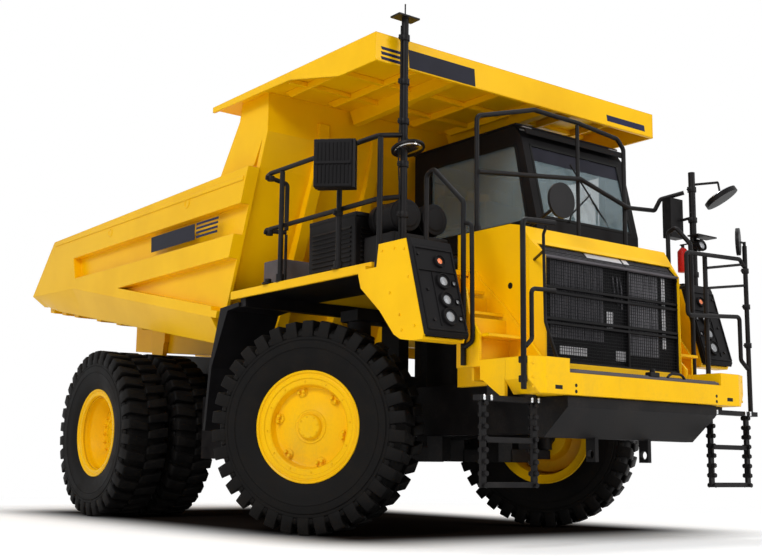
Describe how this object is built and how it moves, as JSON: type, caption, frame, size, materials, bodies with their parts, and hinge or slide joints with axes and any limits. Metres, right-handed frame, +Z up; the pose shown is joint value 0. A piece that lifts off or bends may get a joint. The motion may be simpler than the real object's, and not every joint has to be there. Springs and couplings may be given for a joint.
{
  "type": "rigid mining dump truck",
  "caption": "Rigid haul truck with a hoist-tipped dump bed, protective canopy, offset cab, railed deck, ladders and steered front wheels.",
  "frame": {"origin": "on the ground under the middle of the whole truck", "axes": "+X forwards, +Y to the truck's left, +Z up"},
  "size_m": [8.562, 4.331, 4.4],
  "materials": {
    "yellow_paint": "gloss",
    "dark_paint": "satin",
    "black_plastic": "matte",
    "tyre": "matte",
    "glass": "clear",
    "steel": "polished",
    "fabric": "woven",
    "cast_iron": "painted"
  },
  "bodies": {
    "chassis": {"frame_rails": "dark_paint", "frame_cross_members": "dark_paint", "strut_towers": "dark_paint", "deck_supports": "dark_paint", "frame_brackets": "dark_paint", "rear_axle": "dark_paint", "rear_suspension": "dark_paint", "front_arms": "dark_paint", "front_struts": "dark_paint", "deck_rails": "dark_paint", "cab_guard_rail": "dark_paint", "front_handrails": "dark_paint", "ladders": "dark_paint", "mast": "dark_paint", "deck_equipment": "dark_paint", "skid_plate": "dark_paint", "fuel_tank": "yellow_paint", "hydraulic_tank": "yellow_paint", "hood": "yellow_paint", "front_bumper": "yellow_paint", "fenders": "yellow_paint", "stairs": "yellow_paint", "deck": "yellow_paint", "grille": "black_plastic", "headlamp_pods": "black_plastic", "mud_flaps": "black_plastic", "cab_shell": "black_plastic", "cab_dash": "black_plastic", "mirrors": "black_plastic", "engine_block": "cast_iron", "transmission_block": "cast_iron", "drive_shafts": "cast_iron", "radiator": "cast_iron", "cab_glass": "glass", "cab_seats": "fabric"},
    "bed": {"bed_side_right": "yellow_paint", "bed_side_left": "yellow_paint", "bed_floor": "yellow_paint", "bed_bolsters": "yellow_paint", "bed_beams": "yellow_paint", "bed_front": "yellow_paint", "bed_canopy": "yellow_paint"},
    "cab_door": {"cab_door": "black_plastic", "door_glass": "glass"},
    "knuckle_right": {"knuckle_right": "cast_iron"},
    "front_wheel_right": {"front_rim_right": "yellow_paint", "front_tyre_right": "tyre"},
    "rear_wheels_right": {"rear_rims_right": "yellow_paint", "rear_tyres_right": "tyre"},
    "hoist_barrel_right": {"hoist_barrel_right": "dark_paint"},
    "hoist_stage_right": {"hoist_stage_right": "steel"},
    "hoist_rod_right": {"hoist_rod_right": "steel"},
    "knuckle_left": {"knuckle_left": "cast_iron"},
    "front_wheel_left": {"front_rim_left": "yellow_paint", "front_tyre_left": "tyre"},
    "rear_wheels_left": {"rear_rims_left": "yellow_paint", "rear_tyres_left": "tyre"},
    "hoist_barrel_left": {"hoist_barrel_left": "dark_paint"},
    "hoist_stage_left": {"hoist_stage_left": "steel"},
    "hoist_rod_left": {"hoist_rod_left": "steel"}
  },
  "joints": [
    {"name": "bed_tip", "type": "hinge", "parent": "chassis", "child": "bed", "pos_m": [-3.02, 0, 1.74], "axis": [0, -1, 0], "range_deg": [0, 48]},
    {"name": "steer_right", "type": "hinge", "parent": "chassis", "child": "knuckle_right", "pos_m": [1.78, -1.385, 0.912], "axis": [0, 0, 1], "range_deg": [-62.4, 0]},
    {"name": "steer_left", "type": "hinge", "parent": "chassis", "child": "knuckle_left", "pos_m": [1.78, 1.385, 0.912], "axis": [0, 0, 1], "range_deg": [-62.4, 0]},
    {"name": "spin_front_right", "type": "hinge", "parent": "knuckle_right", "child": "front_wheel_right", "pos_m": [1.8499, -1.5005, 0.912], "axis": [0.518, -0.8554, 0], "continuous": true},
    {"name": "spin_front_left", "type": "hinge", "parent": "knuckle_left", "child": "front_wheel_left", "pos_m": [1.7101, 1.5005, 0.912], "axis": [-0.518, 0.8554, 0], "continuous": true},
    {"name": "spin_rear_right", "type": "hinge", "parent": "chassis", "child": "rear_wheels_right", "pos_m": [-1.97, -1.64, 0.912], "axis": [0, -1, 0], "continuous": true},
    {"name": "spin_rear_left", "type": "hinge", "parent": "chassis", "child": "rear_wheels_left", "pos_m": [-1.97, 1.64, 0.912], "axis": [0, 1, 0], "continuous": true},
    {"name": "door_open", "type": "hinge", "parent": "chassis", "child": "cab_door", "pos_m": [1.712, 1.5, 2.9], "axis": [0, 0, 1], "range_deg": [0, 70]},
    {"name": "hoist_swing_right", "type": "hinge", "parent": "chassis", "child": "hoist_barrel_right", "pos_m": [-1.2, -0.655, 0.85], "axis": [0, -1, 0], "range_deg": [0, 23.6]},
    {"name": "hoist_stage_right", "type": "slide", "parent": "hoist_barrel_right", "child": "hoist_stage_right", "axis": [0.1615, 0, 0.9869], "range_m": [0, 0.756]},
    {"name": "hoist_rod_right", "type": "slide", "parent": "hoist_stage_right", "child": "hoist_rod_right", "axis": [0.1615, 0, 0.9869], "range_m": [0, 0.756]},
    {"name": "hoist_swing_left", "type": "hinge", "parent": "chassis", "child": "hoist_barrel_left", "pos_m": [-1.2, 0.655, 0.85], "axis": [0, -1, 0], "range_deg": [0, 23.6]},
    {"name": "hoist_stage_left", "type": "slide", "parent": "hoist_barrel_left", "child": "hoist_stage_left", "axis": [0.1615, 0, 0.9869], "range_m": [0, 0.756]},
    {"name": "hoist_rod_left", "type": "slide", "parent": "hoist_stage_left", "child": "hoist_rod_left", "axis": [0.1615, 0, 0.9869], "range_m": [0, 0.756]}
  ],
  "couplings": [
    {"joint": "steer_left", "follows": "steer_right", "ratio": 1},
    {"joint": "hoist_swing_right", "follows": "bed_tip", "ratio": 0.4891},
    {"joint": "hoist_stage_right", "follows": "bed_tip", "m_per_rad": 0.9011},
    {"joint": "hoist_rod_right", "follows": "bed_tip", "m_per_rad": 0.9011},
    {"joint": "hoist_swing_left", "follows": "bed_tip", "ratio": 0.4891},
    {"joint": "hoist_stage_left", "follows": "bed_tip", "m_per_rad": 0.9011},
    {"joint": "hoist_rod_left", "follows": "bed_tip", "m_per_rad": 0.9011}
  ]
}
